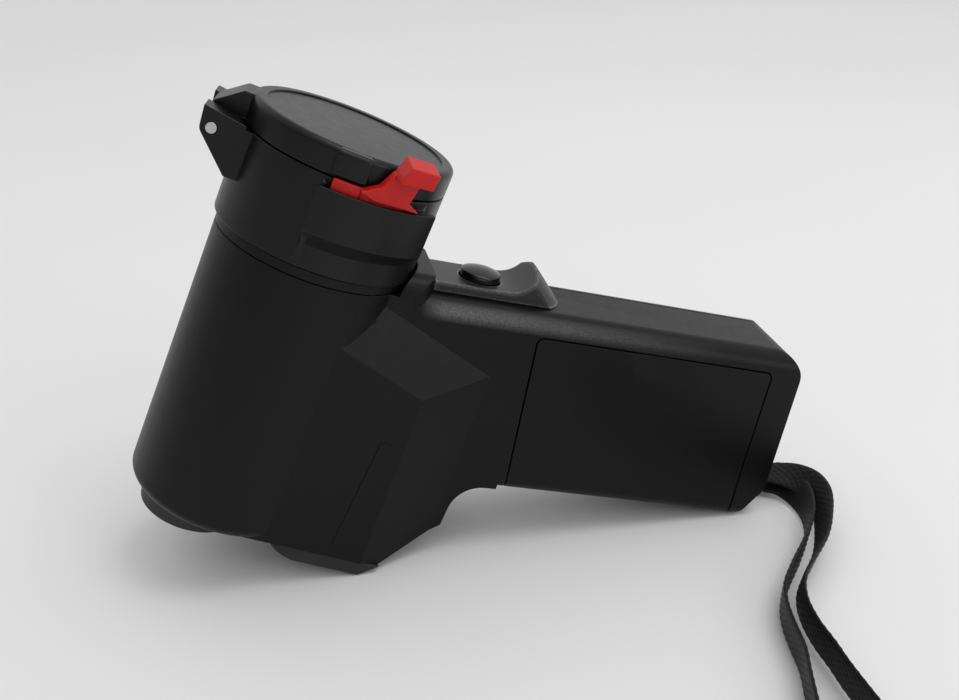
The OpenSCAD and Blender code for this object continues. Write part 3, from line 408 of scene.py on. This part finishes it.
# Points of its route in the resting frame, each with the angle at which the webbing stands on its edge
STRAP_ROUTE = [
    (71.7, 2.5, 6.9, 0), (73.4, 2.5, 6.2, 0), (75.4, 2.5, 5.1, 0), (77.8, 2, 4.8, 4), (80.8, 0, 5.3, 10),
    (84, -2.6, 6.1, 20), (86.9, -5.8, 6.6, 33), (88.7, -10.5, 6.7, 46), (88.3, -17, 6.4, 56),
    (85.2, -24.6, 6, 64), (80, -33.4, 5.5, 70), (73.4, -40.8, 5, 76), (68.4, -47, 4.7, 82),
    (65.6, -54, 4.5, 88), (64.6, -61.6, 4.4, 90), (64.7, -69, 4.4, 90), (64.6, -77, 4.4, 90),
    (65.4, -93, 4.4, 90), (67, -109, 4.4, 90), (65, -122, 4.4, 90), (58, -128, 4.4, 90),
    (50.5, -123, 4.4, 90), (48.6, -108, 4.4, 90), (51, -92, 4.4, 90), (55, -78, 4.4, 90),
    (57.8, -69.4, 4.4, 90), (59.1, -62, 4.4, 90), (60.6, -55, 4.4, 90), (63.3, -48.4, 4.4, 91),
    (68.1, -41.8, 4.4, 92), (75.2, -33.3, 4.4, 94), (81.6, -24.4, 4.4, 98), (84.8, -17, 4.4, 106),
    (86, -9.6, 4.1, 124), (84.8, -4, 3.5, 148), (81.2, -0.8, 2.6, 168),
    (77.4, 1.6, 1.8, 178), (74, 2.5, 1.8, 180), (70.9, 2.5, 2.9, 180),
]
STRAP_WIDTH = 8 * MM
STRAP_THICKNESS = 1.2 * MM
STRAP_SQUARENESS = 8
YARN_ACROSS = 0.8 * MM
YARN_ALONG = 1.2 * MM
YARN_HEIGHT = 0.16 * MM
YARN_STEPS = 3


def curve_point(points, i, t):
    a, b = points[max(i - 1, 0)], points[i]
    c, d = points[i + 1], points[min(i + 2, len(points) - 1)]
    return 0.5 * (
        2 * b + (c - a) * t + (2 * a - 5 * b + 4 * c - d) * t ** 2 + (3 * b - a - 3 * c + d) * t ** 3
    )


def strap_line(step):
    """Points along the strap about a step apart, each with its standing angle in radians."""
    points = [Vector((x * MM, y * MM, z * MM, math.radians(stand))) for x, y, z, stand in STRAP_ROUTE]
    line = []
    for i in range(len(points) - 1):
        count = max(1, round((points[i + 1].xyz - points[i].xyz).length / step))
        line += [curve_point(points, i, k / count) for k in range(count)]
    return line + [points[-1]]


def yarn_height(across, along):
    """Height of the plain weave at a place on the strap's face."""
    u, v = across / YARN_ACROSS, along / YARN_ALONG
    column, row = math.floor(u), math.floor(v)
    arch = math.sin(math.pi * (u - column)) * math.sin(math.pi * (v - row))
    return YARN_HEIGHT * arch if (column + row) % 2 == 0 else 0.0


def make_strap():
    line = strap_line(YARN_ALONG / YARN_STEPS)
    half_w, half_t = STRAP_WIDTH / 2, STRAP_THICKNESS / 2
    columns = round(STRAP_WIDTH / YARN_ACROSS) * YARN_STEPS
    verts = []
    along = 0.0
    for i, point in enumerate(line):
        ahead = line[min(i + 1, len(line) - 1)].xyz - line[max(i - 1, 0)].xyz
        tangent = ahead.normalized()
        side = Vector((0, 0, 1)).cross(tangent).normalized()
        up = tangent.cross(side)
        wide = side * math.cos(point.w) + up * math.sin(point.w)
        thick = up * math.cos(point.w) - side * math.sin(point.w)
        for face in (1, -1):
            for k in range(columns + 1):
                share = face * (2 * k / columns - 1)
                across = half_w * share
                edge = math.sqrt(max(0.0, 1 - abs(share) ** STRAP_SQUARENESS))
                height = (half_t - YARN_HEIGHT) * edge + yarn_height(across + half_w, along) * edge
                verts.append(point.xyz - wide * across + thick * face * height)
        along += ahead.length / 2
    ring = 2 * (columns + 1)
    faces = []
    for i in range(len(line) - 1):
        for j in range(ring):
            k = (j + 1) % ring
            faces.append((i * ring + j, i * ring + k, (i + 1) * ring + k, (i + 1) * ring + j))
    last = (len(line) - 1) * ring
    faces.append(tuple(range(ring - 1, -1, -1)))
    faces.append(tuple(range(last, last + ring)))
    mesh = bpy.data.meshes.new("wrist_strap_webbing")
    mesh.from_pydata(verts, [], faces)
    shape = bmesh.new()
    shape.from_mesh(mesh)
    bmesh.ops.remove_doubles(shape, verts=shape.verts, dist=WELD)
    bmesh.ops.recalc_face_normals(shape, faces=shape.faces)
    shape.to_mesh(mesh)
    shape.free()
    strap = new_piece("wrist_strap_webbing", mesh, "meter", "webbing")
    for face in mesh.polygons:
        face.use_smooth = True
    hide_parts("wrist_strap")


# Studio, with its places in metres

FLOOR_SIZE = 60.0
FLOOR_TONE = grey(0.88)
FLOOR_CLOUD = 3
FLOOR_SHADE = 0.97
KEY_PLACE = Vector((0.35, -0.12, 1.0))
KEY_SIZE = 0.6
KEY_POWER = 2.8
CARD_PLACE = Vector((1.9, -2.1, 1.05))
CARD_SIZE = 1.2
CARD_POWER = 9.0
BRIGHT_WAY = (0.35, 0.3, 0.87)
BRIGHT_LIGHT = 0.76
DIM_LIGHT = 0.04
SWEEP_LIGHT = 0.66
ABOVE_SPAN = (-0.3, 0.45)
FOOT_SPAN = (0.12, 0.3)


def make_floor():
    bpy.ops.mesh.primitive_plane_add(size=FLOOR_SIZE)
    floor = bpy.context.object
    floor.name = "floor"
    s = Shader("floor")
    tone = s.tones(s.noise(FLOOR_CLOUD, 3), tuple(FLOOR_SHADE * c for c in FLOOR_TONE), FLOOR_TONE)
    floor.data.materials.append(s.finish(Base_Color=tone, Roughness=0.7, Specular_IOR_Level=0.2))


def make_light(name, place, size, power):
    lamp = bpy.data.lights.new(name, "AREA")
    lamp.shape = "SQUARE"
    lamp.size = size
    lamp.energy = power
    light = bpy.data.objects.new(name, lamp)
    light.location = place
    light.rotation_euler = (-place).to_track_quat("-Z", "Y").to_euler()
    light.visible_camera = False
    bpy.context.scene.collection.objects.link(light)


def make_world():
    """A sweep that is pale at its foot and above the meter, and dim between on the camera's side."""
    world = bpy.data.worlds.new("studio")
    bpy.context.scene.world = world
    world.use_nodes = True
    tree = world.node_tree
    way = tree.nodes.new("ShaderNodeTexCoord").outputs["Generated"]

    def glow(centre, low, high, outside, inside):
        """Light that changes from outside to inside as the direction nears a centre."""
        nearness = tree.nodes.new("ShaderNodeVectorMath")
        nearness.operation = "DOT_PRODUCT"
        nearness.inputs[1].default_value = centre
        level = tree.nodes.new("ShaderNodeMapRange")
        level.interpolation_type = "SMOOTHSTEP"
        level.inputs["From Min"].default_value = low
        level.inputs["From Max"].default_value = high
        level.inputs["To Min"].default_value = outside
        level.inputs["To Max"].default_value = inside
        tree.links.new(way, nearness.inputs[0])
        tree.links.new(nearness.outputs["Value"], level.inputs["Value"])
        return level.outputs["Result"]

    above = glow(BRIGHT_WAY, *ABOVE_SPAN, DIM_LIGHT, BRIGHT_LIGHT)
    foot = glow((0, 0, 1), *FOOT_SPAN, SWEEP_LIGHT, DIM_LIGHT)
    brighter = tree.nodes.new("ShaderNodeMath")
    brighter.operation = "MAXIMUM"
    background = tree.nodes["Background"]
    background.inputs["Color"].default_value = (1, 1, 1, 1)
    tree.links.new(above, brighter.inputs[0])
    tree.links.new(foot, brighter.inputs[1])
    tree.links.new(brighter.outputs["Value"], background.inputs["Strength"])


make_camera()
make_strap()
dress_solids()
make_strip()
make_floor()
make_light("key", KEY_PLACE, KEY_SIZE, KEY_POWER)
make_light("card", CARD_PLACE, CARD_SIZE, CARD_POWER)
make_world()
bpy.context.scene.view_settings.view_transform = "Standard"
